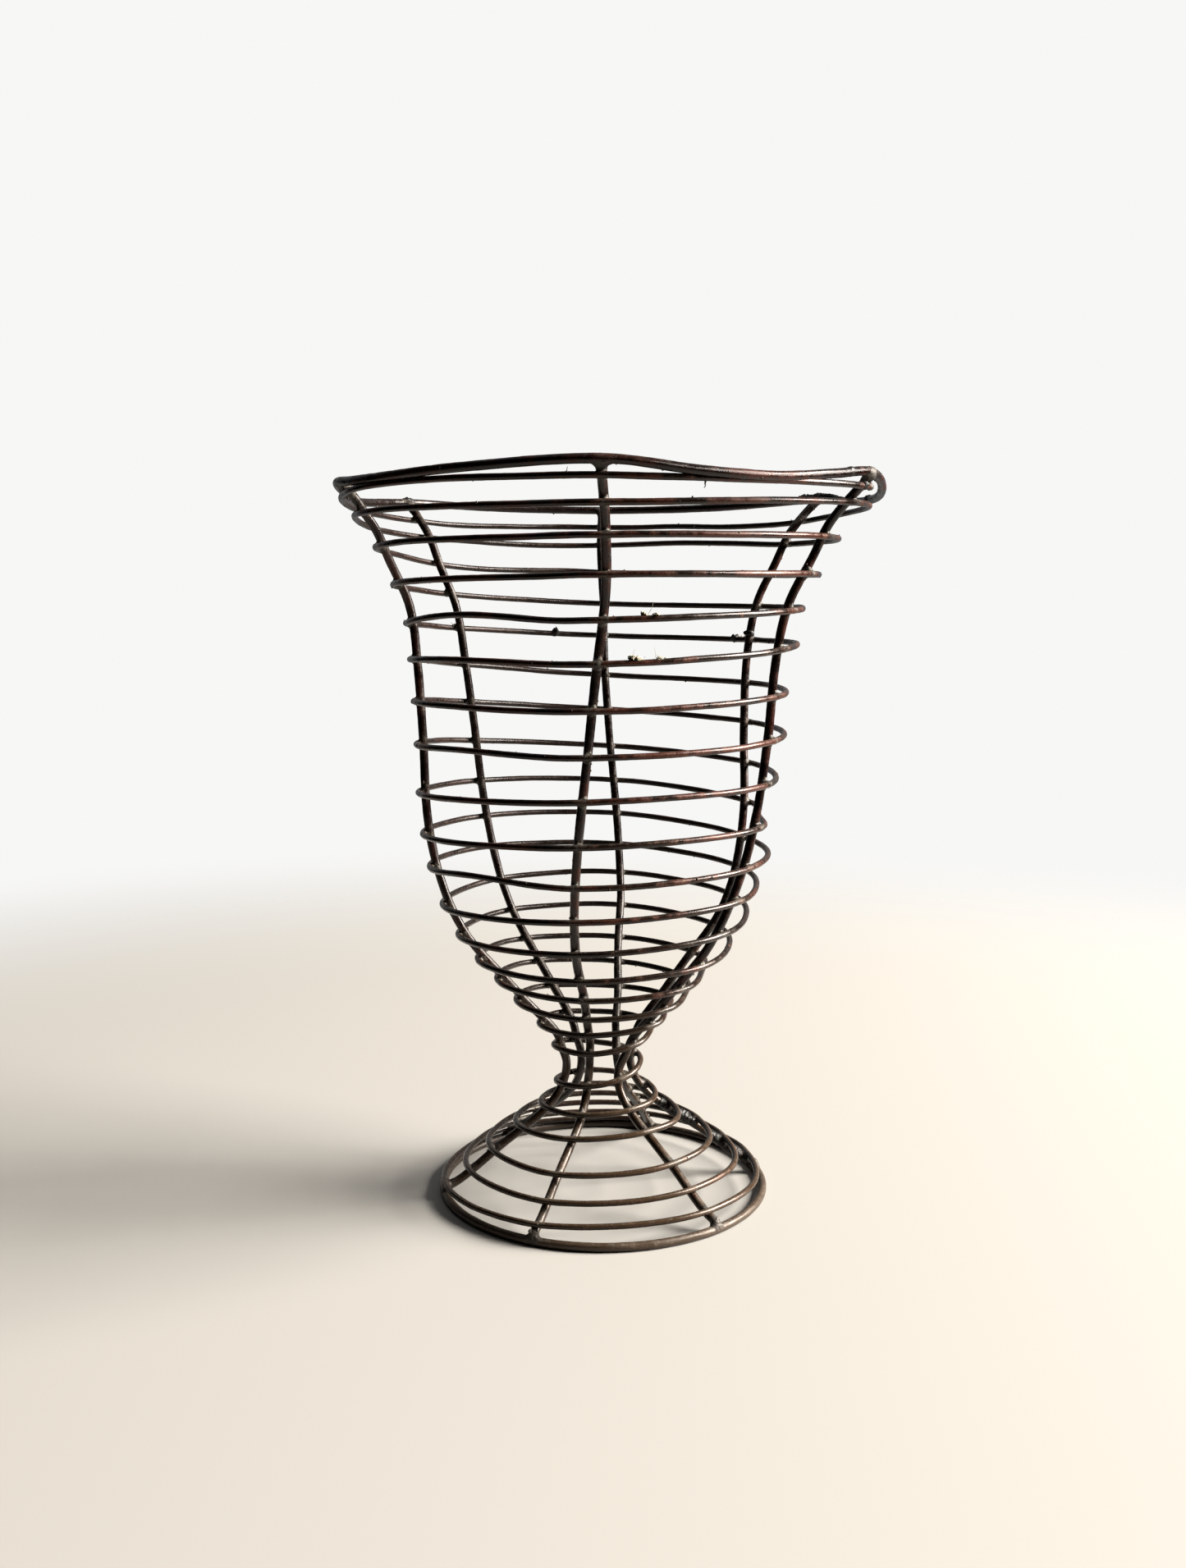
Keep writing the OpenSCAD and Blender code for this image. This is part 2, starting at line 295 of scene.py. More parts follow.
def mixed(tree, share, a, b):
    node = put(tree, "ShaderNodeMix", data_type="RGBA")
    ends = [node.inputs[0], node.inputs[6], node.inputs[7]]       # the colour sockets of a mix node
    for socket, value in zip(ends, [share, a, b]):
        if isinstance(value, bpy.types.NodeSocket):
            tree.links.new(value, socket)
        else:
            socket.default_value = value
    return node.outputs[2]


def buildIronSkin():
    # old oxidised iron: near-black scale, rusty stretches, worn tan-grey patches
    group, given, out = newGroup("ironSkin", [
        ("Place", "NodeSocketVector", None),
        ("Dark", "NodeSocketColor", (0.018, 0.011, 0.009, 1)),
        ("Rust", "NodeSocketColor", (0.07, 0.025, 0.015, 1)),
        ("Worn", "NodeSocketColor", (0.2, 0.16, 0.12, 1)),
        ("Rust Share", "NodeSocketFloat", 0.5),
        ("Worn Share", "NodeSocketFloat", 0.4),
    ], [("Color", "NodeSocketColor"), ("Roughness", "NodeSocketFloat"), ("Height", "NodeSocketFloat")])
    at = given.outputs["Place"]
    broad = speckle(group, at, 38, 2)
    patch = speckle(group, at, 260, 4, 0.6)
    fine = speckle(group, at, 1700, 4, 0.65)
    rustField = sums(group, "ADD", sums(group, "MULTIPLY", broad, 0.6), sums(group, "MULTIPLY", patch, 0.4))
    rustEdge = sums(group, "SUBTRACT", 0.78, sums(group, "MULTIPLY", given.outputs["Rust Share"], 0.5))
    rust = step(group, sums(group, "SUBTRACT", rustField, rustEdge), -0.05, 0.09)
    wornField = sums(group, "ADD", sums(group, "MULTIPLY", patch, 0.55), sums(group, "MULTIPLY", fine, 0.45))
    wornEdge = sums(group, "SUBTRACT", 0.8, sums(group, "MULTIPLY", given.outputs["Worn Share"], 0.5))
    worn = step(group, sums(group, "SUBTRACT", wornField, wornEdge), -0.03, 0.12)
    base = mixed(group, rust, given.outputs["Dark"], given.outputs["Rust"])
    base = mixed(group, worn, base, given.outputs["Worn"])
    shade = step(group, fine, 0.3, 0.7, 0.75, 1.2)
    tone = put(group, "ShaderNodeHueSaturation", {"Value": shade, "Color": base}).outputs[0]
    group.links.new(tone, out.inputs["Color"])
    rough = sums(group, "ADD", step(group, patch, 0.3, 0.7, 0.27, 0.45), sums(group, "MULTIPLY", rust, 0.1))
    group.links.new(sums(group, "ADD", rough, sums(group, "MULTIPLY", worn, 0.08)), out.inputs["Roughness"])
    height = sums(group, "ADD", sums(group, "MULTIPLY", patch, 0.6), sums(group, "MULTIPLY", fine, 0.25))
    polished = sums(group, "MULTIPLY", worn, 0.15)
    group.links.new(sums(group, "SUBTRACT", height, polished), out.inputs["Height"])
    return group


def buildDrawLines():
    # fine lines that the drawing die left along a wire; Run is (along, around) in metres
    group, given, out = newGroup("drawLines", [
        ("Run", "NodeSocketVector", None),
        ("Length", "NodeSocketFloat", 60.0),
        ("Width", "NodeSocketFloat", 2600.0),
    ], [("Mask", "NodeSocketFloat"), ("Height", "NodeSocketFloat")])
    pulled = put(group, "ShaderNodeCombineXYZ", {
        "X": given.outputs["Length"], "Y": given.outputs["Width"], "Z": 1.0,
    }).outputs[0]
    drawn = put(group, "ShaderNodeVectorMath", {0: given.outputs["Run"], 1: pulled}, operation="MULTIPLY")
    streak = speckle(group, drawn.outputs[0], 1.0, 3, 0.6)
    group.links.new(step(group, streak, 0.5, 0.72), out.inputs["Mask"])
    group.links.new(streak, out.inputs["Height"])
    return group


def buildDryBloom():
    # dry grey-tan bloom: thicker near joints, and where dust settles on upward faces
    group, given, out = newGroup("dryBloom", [
        ("Place", "NodeSocketVector", None),
        ("Near Joint", "NodeSocketFloat", 0.0),
        ("Up", "NodeSocketFloat", 0.0),
        ("Amount", "NodeSocketFloat", 0.5),
    ], [("Mask", "NodeSocketFloat")])
    cloud = speckle(group, given.outputs["Place"], 600, 5, 0.7)
    grit = speckle(group, given.outputs["Place"], 2600, 3, 0.6)
    field = sums(group, "ADD", sums(group, "MULTIPLY", cloud, 0.6), sums(group, "MULTIPLY", grit, 0.4))
    pull = sums(group, "ADD", sums(group, "MULTIPLY", given.outputs["Near Joint"], 0.16),
                sums(group, "MULTIPLY", given.outputs["Up"], 0.08))
    mask = step(group, sums(group, "ADD", field, pull), 0.56, 0.74)
    group.links.new(sums(group, "MULTIPLY", mask, given.outputs["Amount"]), out.inputs["Mask"])
    return group


ironSkin = buildIronSkin()
drawLines = buildDrawLines()
dryBloom = buildDryBloom()


def groupNode(tree, group, links):
    return put(tree, "ShaderNodeGroup", links, node_tree=group)


def colour(r, g, b):
    return (r, g, b, 1)


def wireFinish(name, look):
    material = bpy.data.materials.new(name)
    material.use_nodes = True
    tree = material.node_tree
    shader = tree.nodes["Principled BSDF"]
    place = put(tree, "ShaderNodeTexCoord").outputs["Object"]
    run = put(tree, "ShaderNodeAttribute", attribute_name="run").outputs["Vector"]
    joint = put(tree, "ShaderNodeAttribute", attribute_name="nearJoint").outputs["Fac"]
    normal = put(tree, "ShaderNodeNewGeometry").outputs["Normal"]
    up = step(tree, put(tree, "ShaderNodeSeparateXYZ", {0: normal}).outputs["Z"], 0.2, 0.9)
    high = put(tree, "ShaderNodeSeparateXYZ", {0: place}).outputs["Z"]
    # faces that look in towards the axis are mixed towards the dark colour, and faces that look out get more
    # of the worn colour
    fromAxis = put(tree, "ShaderNodeVectorMath", {0: place, 1: (1, 1, 0)}, operation="MULTIPLY").outputs[0]
    radial = put(tree, "ShaderNodeVectorMath", {0: fromAxis}, operation="NORMALIZE").outputs[0]
    outward = put(tree, "ShaderNodeVectorMath", {0: normal, 1: radial}, operation="DOT_PRODUCT")
    facing = outward.outputs["Value"]
    inner = step(tree, facing, 0.25, -0.45, 0.0, look["innerDark"])
    wornHere = step(tree, facing, -0.5, 0.5, look["wornShare"] * 0.6, look["wornShare"])
    rustier = step(tree, high, 0.03, 0.16, look["rustAtFoot"], look["rustShare"])
    skin = groupNode(tree, ironSkin, {
        "Place": place, "Dark": look["dark"], "Rust": look["rust"], "Worn": look["worn"],
        "Rust Share": rustier, "Worn Share": wornHere,
    })
    lines = groupNode(tree, drawLines, {"Run": run, "Length": 60.0, "Width": look["lineWidth"]})
    bloom = groupNode(tree, dryBloom, {
        "Place": place, "Near Joint": joint, "Up": up, "Amount": look["bloom"],
    })
    lined = mixed(tree, sums(tree, "MULTIPLY", lines.outputs["Mask"], look["lineTint"]),
                  skin.outputs["Color"], look["worn"])
    # painted reflection: a warm brown mixed in near the foot stands in for light thrown back up from a
    # wooden bench
    withPaintedBounce = mixed(tree, step(tree, high, 0.01, 0.10, look["paintedBounceShare"], 0.0), lined, look["paintedBounceColour"])
    shaded = mixed(tree, inner, withPaintedBounce, look["dark"])
    shown = mixed(tree, bloom.outputs["Mask"], shaded, look["dust"])
    tree.links.new(shown, shader.inputs["Base Color"])
    dry = sums(tree, "MULTIPLY", bloom.outputs["Mask"], 0.35)
    rough = sums(tree, "ADD", skin.outputs["Roughness"], dry)
    tree.links.new(sums(tree, "ADD", rough, look["rougher"]), shader.inputs["Roughness"])
    height = sums(tree, "ADD", skin.outputs["Height"], sums(tree, "MULTIPLY", lines.outputs["Height"], 0.5))
    height = sums(tree, "ADD", height, sums(tree, "MULTIPLY", bloom.outputs["Mask"], 0.4))
    bump = put(tree, "ShaderNodeBump", {"Height": height, "Strength": look["bump"], "Distance": 0.00022})
    tree.links.new(bump.outputs["Normal"], shader.inputs["Normal"])
    metal = step(tree, bloom.outputs["Mask"], 0.0, 0.6, look["metal"], 0.0)
    tree.links.new(metal, shader.inputs["Metallic"])
    shader.inputs["Specular IOR Level"].default_value = look["gloss"]
    return material


heavyFinish = wireFinish("oxidisedHeavyWire", {
    "dark": colour(0.009, 0.004, 0.003),
    "rust": colour(0.052, 0.013, 0.007),
    "worn": colour(0.104, 0.056, 0.034),
    "dust": colour(0.135, 0.11, 0.085),
    "rustShare": 0.55,
    "rustAtFoot": 0.4,
    "innerDark": 0.85,
    "paintedBounceShare": 0.4,
    "paintedBounceColour": colour(0.105, 0.062, 0.033),
    "wornShare": 0.26,
    "lineWidth": 2400.0,
    "lineTint": 0.15,
    "bloom": 0.35,
    "rougher": -0.12,
    "bump": 0.4,
    "metal": 0.2,
    "gloss": 0.36,
})
spiralFinish = wireFinish("oxidisedSpiralWire", {
    "dark": colour(0.012, 0.006, 0.004),
    "rust": colour(0.068, 0.019, 0.010),
    "worn": colour(0.146, 0.088, 0.052),
    "dust": colour(0.155, 0.13, 0.10),
    "rustShare": 0.6,
    "rustAtFoot": 0.36,
    "innerDark": 0.85,
    "paintedBounceShare": 0.4,
    "paintedBounceColour": colour(0.115, 0.068, 0.036),
    "wornShare": 0.40,
    "lineWidth": 3000.0,
    "lineTint": 0.2,
    "bloom": 0.35,
    "rougher": -0.12,
    "bump": 0.4,
    "metal": 0.2,
    "gloss": 0.36,
})
ringFinish = wireFinish("oxidisedRingWire", {
    "dark": colour(0.032, 0.022, 0.015),
    "rust": colour(0.066, 0.030, 0.018),
    "worn": colour(0.132, 0.098, 0.068),
    "dust": colour(0.17, 0.148, 0.118),
    "rustShare": 0.45,
    "rustAtFoot": 0.4,
    "innerDark": 0.85,
    "paintedBounceShare": 0.4,
    "paintedBounceColour": colour(0.105, 0.062, 0.033),
    "wornShare": 0.46,
    "lineWidth": 2400.0,
    "lineTint": 0.25,
    "bloom": 0.5,
    "rougher": 0.03,
    "bump": 0.5,
    "metal": 0.25,
    "gloss": 0.5,
})


def solderFinish(name, look):
    material = bpy.data.materials.new(name)
    material.use_nodes = True
    tree = material.node_tree
    shader = tree.nodes["Principled BSDF"]
    place = put(tree, "ShaderNodeTexCoord").outputs["Object"]
    skin = groupNode(tree, ironSkin, {
        "Place": place, "Dark": look["dark"], "Rust": look["rust"], "Worn": look["bare"],
        "Rust Share": look["rustShare"], "Worn Share": look["bareShare"],
    })
    bloom = groupNode(tree, dryBloom, {
        "Place": place, "Near Joint": 1.0, "Up": 0.0, "Amount": look["bloom"],
    })
    shown = mixed(tree, bloom.outputs["Mask"], skin.outputs["Color"], look["dust"])
    tree.links.new(shown, shader.inputs["Base Color"])
    tree.links.new(sums(tree, "ADD", skin.outputs["Roughness"], 0.08), shader.inputs["Roughness"])
    height = sums(tree, "ADD", skin.outputs["Height"], sums(tree, "MULTIPLY", bloom.outputs["Mask"], 0.6))
    bump = put(tree, "ShaderNodeBump", {"Height": height, "Strength": 0.7, "Distance": 0.00025})
    tree.links.new(bump.outputs["Normal"], shader.inputs["Normal"])
    shader.inputs["Metallic"].default_value = look["metal"]
    shader.inputs["Specular IOR Level"].default_value = look["gloss"]
    return material


jointFinish = solderFinish("oldSolder", {
    "dark": colour(0.030, 0.022, 0.018),
    "rust": colour(0.07, 0.035, 0.022),
    "bare": colour(0.17, 0.15, 0.125),
    "dust": colour(0.18, 0.16, 0.13),
    "rustShare": 0.35,
    "bareShare": 0.32,
    "bloom": 0.45,
    "metal": 0.3,
    "gloss": 0.45,
})
print("finishes built")


def unit(v):
    return v / np.maximum(np.linalg.norm(v, axis=-1, keepdims=True), 1e-12)


def heading(path, closed):
    if closed:
        return unit(np.roll(path, -1, 0) - np.roll(path, 1, 0))
    return unit(np.gradient(path, axis=0))


def evenly(path, gap, closed=False):
    # the same route with rings gap millimetres apart
    ends = np.vstack([path, path[:1]]) if closed else path
    run = np.concatenate([[0], np.cumsum(np.linalg.norm(np.diff(ends, axis=0), axis=1))])
    count = max(int(round(run[-1] / gap)), 3)
    at = np.linspace(0, run[-1], count + 1)
    if closed:
        at = at[:-1]
    return np.stack([np.interp(at, run, ends[:, k]) for k in range(3)], 1)


def waver(path, size, length, seed):
    # slow uneven bends left by hand work
    moved = [noise.noise_vector(Vector((*(p / length),)) + Vector((seed, 0, 0))) for p in path]
    return path + size * np.array(moved)


def addMesh(name, points, faces, material, uvs=None):
    mesh = bpy.data.meshes.new(name)
    mesh.from_pydata([tuple(p) for p in np.asarray(points) * mm], [], faces)
    mesh.materials.append(material)
    mesh.polygons.foreach_set("use_smooth", [True] * len(mesh.polygons))
    if uvs is not None:
        layer = mesh.uv_layers.new(name="OFBake")
        layer.uv.foreach_set("vector", np.asarray(uvs, np.float32).ravel())
    piece = bpy.data.objects.new(name, mesh)
    scene.collection.objects.link(piece)
    return piece


def nearJoints(path, joints, reach):
    if not len(joints):
        return np.zeros(len(path))
    gap = np.full(len(path), 1e9)
    for joint in joints:
        gap = np.minimum(gap, np.linalg.norm(path - joint, axis=1))
    return np.clip(1 - gap / reach, 0, 1)


def tube(name, path, side, radius, material, spec, joints=(), closed=False):
    # a drawn wire: rings of corners, uneven by a few hundredths, with nipped ends
    sides = spec["sides"]
    way = heading(path, closed)
    along = np.concatenate([[0], np.cumsum(np.linalg.norm(np.diff(path, axis=0), axis=1))])
    size = np.array([
        1 + spec["uneven"] * noise.noise(Vector((s * 0.09, spec["seed"], 0.5)))
        + 0.5 * spec["uneven"] * noise.noise(Vector((s * 0.4, spec["seed"], 7.5)))
        for s in along
    ])
    rings = [(p, w, s, k, r) for p, w, s, k, r in zip(path, way, side, size, along)]
    if not closed:
        nips = [(0.32, 0.93), (0.55, 0.72), (0.62, 0.4)]      # (out, size) in wire radii
        first, last = rings[0], rings[-1]
        for out, k in nips:
            start = first[0] - first[1] * out * radius
            end = last[0] + last[1] * out * radius
            rings.insert(0, (start, first[1], first[2], k * first[3], first[4] - out))
            rings.append((end, last[1], last[2], k * last[3], last[4] + out))
    angle = 2 * math.pi * np.arange(sides) / sides
    points, run = [], []
    for p, w, s, k, r in rings:
        u = unit(np.cross(w, s))
        v = np.cross(w, u)
        points.append(p + radius * k * (np.cos(angle)[:, None] * u + np.sin(angle)[:, None] * v))
        run.append(np.stack([np.full(sides, r), angle * radius, np.full(sides, spec["seed"])], 1))
    n = len(rings)
    corners = np.concatenate(points)
    for i, p in enumerate(corners):                       # small dents and scale
        centre = rings[i // sides][0]
        lump = noise.noise(Vector(p) * 0.8 + Vector((spec["seed"], 0, 0)))
        corners[i] = centre + (p - centre) * (1 + spec["dents"] * lump)
    links = n if closed else n - 1
    faces, uvs = [], []
    perRow = max(int(round(math.sqrt(links * sides * 1.6))), 8)
    rows = math.ceil(links / perRow)
    for i in range(links):
        a0, b0 = i * sides, (i + 1) % n * sides
        u0, u1 = (i % perRow) / perRow, (i % perRow + 1) / perRow
        base, tall = (i // perRow) / rows, 0.9 / rows / sides
        for j in range(sides):
            k = (j + 1) % sides
            faces.append((a0 + j, a0 + k, b0 + k, b0 + j))
            v0, v1 = base + j * tall, base + (j + 1) * tall
            uvs += [(u0, v0), (u0, v1), (u1, v1), (u1, v0)]
    if not closed:
        faces.append(tuple(range(sides))[::-1])
        faces.append(tuple((n - 1) * sides + j for j in range(sides)))
        ringUv = [(0.004 + 0.003 * math.cos(t), 1 - 0.05 / rows + 0.02 / rows * math.sin(t)) for t in angle]
        uvs += ringUv[::-1] + ringUv
    piece = addMesh(name, corners, faces, material, uvs)
    spread = piece.data.attributes.new("run", "FLOAT_VECTOR", "POINT")
    spread.data.foreach_set("vector", (np.concatenate(run) * mm).astype(np.float32).ravel())
    close = nearJoints(np.array([r[0] for r in rings]), joints, spec["jointReach"])
    stain = piece.data.attributes.new("nearJoint", "FLOAT", "POINT")
    stain.data.foreach_set("value", np.repeat(close, sides).astype(np.float32))
    return piece


joints = {}                      # rib -> [(turn, point on the rib, point on the spiral)]
for rib in range(6):
    joints[rib] = []
    for t in crossings(rib):
        h = float(spiralHeight(t))
        joints[rib].append((t, ribSpot(rib, np.array(h)), spiralSpot(np.array([t]))[0]))
allJoints = np.array([j[2] for rib in range(6) for j in joints[rib]])

spiralSpec = {"sides": 12, "gap": 1.5, "uneven": 0.05, "dents": 0.035, "seed": 3.0, "jointReach": 6.0,
              "waver": 0.22, "waverLength": 24.0}
turnsAt = np.linspace(shape["startTurn"], endTurn, 24 * 360)
spiralPath = evenly(spiralSpot(turnsAt), spiralSpec["gap"])
spiralHold = nearJoints(spiralPath, allJoints, 8.0)[:, None]
spiralSway = waver(spiralPath, spiralSpec["waver"], spiralSpec["waverLength"], 11.0) - spiralPath
spiralPath = spiralPath + spiralSway * (1 - spiralHold)      # the wire can't sway where it is soldered
upward = np.tile([0.0, 0.0, 1.0], (len(spiralPath), 1))
spiralWire = tube("spiralWire", spiralPath, upward, shape["spiralR"], spiralFinish, spiralSpec, allJoints)
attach(spiralWire, "root")
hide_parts("spiral_wire")
print("spiral wound:", len(spiralPath), "rings")

rimSpec = {"sides": 18, "gap": 1.5, "uneven": 0.05, "dents": 0.03, "seed": 9.0, "jointReach": 8.0}
rimRows = [[b + 360 * k, r, h] for k in (-1, 0, 1) for b, r, h in rimRoute]
rimBearing = np.linspace(270, 630, 1200, endpoint=False)
rimHeight = through([[b, h] for b, r, h in rimRows], rimBearing)
rimPath = spot(rimBearing, shape["rimR"] + through([[b, r] for b, r, h in rimRows], rimBearing), rimHeight)
rimPath = evenly(rimPath, rimSpec["gap"], closed=True)
ribTops = np.array([ribSpot(rib, np.array(rimH[rib] - shape["heavyR"])) for rib in range(6)])
rimWire = tube("rimWire", rimPath, np.tile([0.0, 0.0, 1.0], (len(rimPath), 1)), shape["heavyR"],
               heavyFinish, rimSpec, ribTops, closed=True)
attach(rimWire, "root")
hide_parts("rim_wire")

ringSpec = {"sides": 18, "gap": 1.2, "uneven": 0.04, "dents": 0.03, "seed": 17.0, "jointReach": 8.0}
around = np.radians(np.arange(0, 360, 1.2))
ringPath = np.stack([
    shape["ringX"] + shape["ringR"] * np.cos(around),
    shape["ringR"] * np.sin(around),
    np.full(len(around), shape["heavyR"]),
], 1)
ribFeet = np.array([
    spot(bearingOf(rib, bearingH[0]), shape["ringR"], np.array(shape["footJointH"])) for rib in range(6)
])
baseRing = tube("baseRing", ringPath, np.tile([0.0, 0.0, 1.0], (len(ringPath), 1)), shape["heavyR"],
                ringFinish, ringSpec, ribFeet, closed=True)
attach(baseRing, "root")
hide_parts("base_ring")
print("rim and base ring bent")

ribSpec = {"sides": 16, "gap": 1.1, "uneven": 0.05, "dents": 0.03, "jointReach": 6.0}
ribPaths = []
for rib, name in enumerate(ribNames):
    heights = np.linspace(3 * shape["heavyR"] - shape["sunk"], rimH[rib] - shape["heavyR"], 700)
    path = evenly(ribSpot(rib, heights), ribSpec["gap"])
    turned = np.arctan2(path[:, 1], path[:, 0] - shape["ringX"])
    side = np.stack([-np.sin(turned), np.cos(turned), 0 * turned], 1)
    own = np.array([j[1] for j in joints[rib]] + [ribTops[rib], ribFeet[rib]])
    ribPaths.append(path)
    spec = {**ribSpec, "seed": 30.0 + rib}
    piece = tube("rib" + name, path, side, shape["heavyR"], heavyFinish, spec, own)
    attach(piece, "root")
    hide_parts("rib_" + ribNodes[rib])
print("ribs bent")


# solder is a thin skin that has run round both wires at each joint
def sphereNet(cuts):
    ball = bmesh.new()
    bmesh.ops.create_icosphere(ball, subdivisions=cuts, radius=1)
    points = np.array([v.co for v in ball.verts])
    faces = [tuple(v.index for v in f.verts) for f in ball.faces]
    ball.free()
    return points, faces


netPoints, netFaces = sphereNet(4)


def gapTo(points, path, radius):
    # distance from points to a wire's surface
    a, b = path[:-1], path[1:]
    best = np.full(points.shape[:-1], 1e9)
    for p, q in zip(a, b):
        d = q - p
        t = np.clip(((points - p) @ d) / (d @ d), 0, 1)
        best = np.minimum(best, np.linalg.norm(points - p - t[..., None] * d, axis=-1))
    return best - radius


skinSpec = {"steps": 56, "from": 0.05, "to": 1.3}      # where each ray out of a joint is tested


def jointSkin(centre, wires, look, seed):
    # closed surface round a joint; wires is [(path, radius)]
    steps = np.linspace(skinSpec["from"], look["reach"] * skinSpec["to"], skinSpec["steps"])
    points = centre + netPoints[:, None] * steps[None, :, None]
    gaps = [gapTo(points, path, radius) for path, radius in wires]
    blend = look["fillet"]
    field = gaps[0]
    for other in gaps[1:]:
        mixShare = np.clip(0.5 + 0.5 * (other - field) / blend, 0, 1)
        field = other + (field - other) * mixShare - blend * mixShare * (1 - mixShare)
    lumps = np.array([
        noise.noise(Vector(p) * look["lumpScale"] + Vector((seed, seed * 0.7, 0))) for p in netPoints
    ])
    reach = look["reach"] * (1 + 0.25 * lumps)
    fade = steps[None, :] / reach[:, None]
    limit = look["rise"] * (1 + 0.7 * lumps[:, None]) - (look["rise"] + 0.35) * fade**3
    outside = field > limit
    outside[:, -1] = True
    first = np.argmax(outside, 1)
    before = np.maximum(first - 1, 0)
    rows = np.arange(len(netPoints))
    inner = (limit - field)[rows, before]
    outer = (field - limit)[rows, first]
    share = np.clip(inner / np.maximum(inner + outer, 1e-9), 0, 1)
    share = np.where(first == 0, 0, share)
    distance = steps[before] + (steps[first] - steps[before]) * share
    return centre + netPoints * distance[:, None]


def nearby(path, point, reach):
    close = np.linalg.norm(path - point, axis=1)
    at = int(np.argmin(close))
    span = max(int(reach / np.linalg.norm(path[1] - path[0])), 2)
    return path[max(at - span, 0):at + span + 1]


def solderPiece(name, skins):
    points, faces = [], []
    for k, skin in enumerate(skins):
        points.append(skin)
        faces += [tuple(i + k * len(netPoints) for i in f) for f in netFaces]
    return addMesh(name, np.concatenate(points), faces, jointFinish)


solderLook = {"reach": 2.7, "fillet": 0.9, "rise": 0.1, "lumpScale": 1.6}
luck = random.Random(41)
for rib, name in enumerate(ribNames):
    skins = []
    for _, ribPoint, spiralPoint in joints[rib]:
        look = dict(solderLook)
        look["reach"] *= luck.uniform(0.85, 1.25)
        look["rise"] *= luck.uniform(0.5, 1.9)
        look["fillet"] *= luck.uniform(0.7, 1.7)
        apart = spiralPoint - ribPoint
        centre = ribPoint + apart * shape["heavyR"] / (shape["heavyR"] + shape["spiralR"])
        wires = [(nearby(ribPaths[rib], ribPoint, 5), shape["heavyR"]),
                 (nearby(spiralPath, spiralPoint, 5), shape["spiralR"])]
        skins.append(jointSkin(centre, wires, look, 3.1 * len(skins) + 17 * rib))
    piece = solderPiece("solder" + name, skins)
    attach(piece, "root")
    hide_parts("beads_" + ribNodes[rib])

endLook = {"reach": 4.0, "fillet": 1.8, "rise": 0.16, "lumpScale": 1.7}
rimLook = {**endLook, "reach": 4.8, "fillet": 2.6, "rise": 0.2}
closedRim = np.vstack([rimPath, rimPath[:4]])
skins = [
    jointSkin(ribTops[rib], [(nearby(closedRim, ribTops[rib], 7), shape["heavyR"]),
                             (ribPaths[rib][-7:], shape["heavyR"])], rimLook, 60 + rib)
    for rib in range(6)
]
solderRim = solderPiece("solderRim", skins)
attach(solderRim, "root")
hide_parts("beads_rim")

closedRing = np.vstack([ringPath, ringPath[:4]])
skins = [
    jointSkin(ribFeet[rib], [(nearby(closedRing, ribFeet[rib], 7), shape["heavyR"]),
                             (ribPaths[rib][:7], shape["heavyR"])], endLook, 80 + rib)
    for rib in range(6)
]
solderFoot = solderPiece("solderFoot", skins)
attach(solderFoot, "root")
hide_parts("beads_foot")

tipLook = {"reach": 2.3, "fillet": 0.8, "rise": 0.28, "lumpScale": 2.2}
skins = [
    jointSkin(spiralPath[0] + np.array([0, 0, 0.01]), [(spiralPath[:5], shape["spiralR"])], tipLook, 101),
    jointSkin(spiralPath[-1] + np.array([0, 0, 0.01]), [(spiralPath[-5:], shape["spiralR"])], tipLook, 102),
]
solderTips = solderPiece("solderSpiralEnds", skins)
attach(solderTips, "root")
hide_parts("beads_spiral_ends")
print("solder run")


def sleeveFaces(rings, sides):
    # quads between rings of corners, and a lid on each end
    faces = [
        (i * sides + j, i * sides + (j + 1) % sides, (i + 1) * sides + (j + 1) % sides, (i + 1) * sides + j)
        for i in range(rings - 1) for j in range(sides)
    ]
    return faces + [tuple(range(sides))[::-1], tuple((rings - 1) * sides + j for j in range(sides))]


def crust(path, wireRadius, look, seed):
    # a lumpy sleeve round a stretch of wire, which sinks into it at both ends; look is in millimetres
    path = evenly(path, look["gap"])
    way = heading(path, False)
    side = np.where(abs(way[:, 2:]) < 0.9, [[0.0, 0.0, 1.0]], [[1.0, 0.0, 0.0]])
    across = unit(np.cross(way, side))
    lift = np.cross(across, way)
    sides = look["sides"]
    angle = 2 * math.pi * np.arange(sides) / sides
    spokes = np.cos(angle)[None, :, None] * across[:, None] + np.sin(angle)[None, :, None] * lift[:, None]
    swell = np.sin(math.pi * np.linspace(0, 1, len(path))) ** look["blunt"]
    favour = 0.5 + 0.5 * (spokes @ unit(np.array(look["toward"], float)))
    shift = Vector((seed, 0, 0))
    rough = np.array([
        [noise.fractal(Vector(p + 2 * d) * look["lumpScale"] + shift, 0.8, 2.1, 4) for d in ring]
        for p, ring in zip(path, spokes)
    ])
    thick = look["thick"] * swell[:, None] * (favour * (1 + 0.9 * rough) + 0.25 * rough)
    size = wireRadius * 0.9 + np.maximum(thick, -0.05) + 0.12 * wireRadius * swell[:, None]
    points = (path[:, None] + spokes * size[..., None]).reshape(-1, 3)
    return points, sleeveFaces(len(path), sides)


def joined(name, parts, material):
    # one piece out of several closed skins, each (points, faces)
    points, faces, base = [], [], 0
    for skin, net in parts:
        points.append(skin)
        faces += [tuple(i + base for i in f) for f in net]
        base += len(skin)
    piece = addMesh(name, np.concatenate(points), faces, material)
    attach(piece, "root")
    return piece


def stretch(path, near, length):
    # the part of a wire's path that lies round a point
    gap = np.linalg.norm(path[1] - path[0])
    at = int(np.argmin(np.linalg.norm(path - near, axis=1)))
    span = max(int(length / 2 / gap), 1)
    return path[max(at - span, 0):at + span + 1]


def onSpiral(turn):
    return spiralSpot(np.array([turn]))[0]


def onRim(bearing):
    return rimPath[np.argmin(abs((np.degrees(np.arctan2(
        rimPath[:, 1], rimPath[:, 0] - shape["ringX"])) - bearing + 180) % 360 - 180))]


